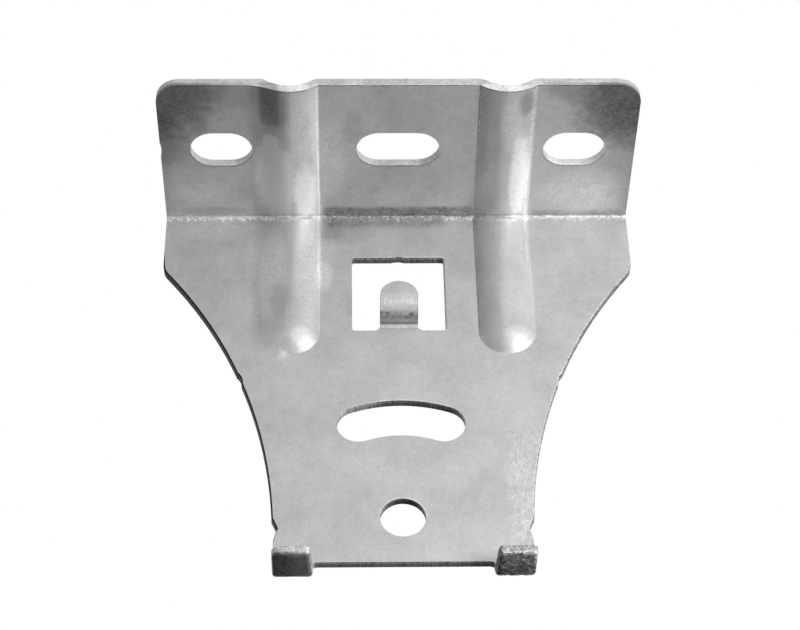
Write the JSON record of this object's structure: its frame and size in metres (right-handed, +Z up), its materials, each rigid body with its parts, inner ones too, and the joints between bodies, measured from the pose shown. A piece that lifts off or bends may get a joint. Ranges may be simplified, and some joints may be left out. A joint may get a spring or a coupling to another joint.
{
  "type": "ceiling bracket",
  "caption": "Folded steel ceiling bracket: a slotted flange on top, and a waisted plate below with a hook, a curved slot over a pivot hole, and feet.",
  "frame": {"origin": "middle of the row of anchor slots, in the plane of the ceiling", "axes": "+Z up into the ceiling, +Y from the flange's free edge to the plate, +X along the fold, to the right when the hollow side of the corner is seen from the front"},
  "size_m": [0.115, 0.0474, 0.1094],
  "materials": {
    "galvanised_steel": "dull zinc coat with fine mottling, pressed and bent marks"
  },
  "bodies": {
    "root": {"bracket": "galvanised_steel"}
  },
  "joints": []
}
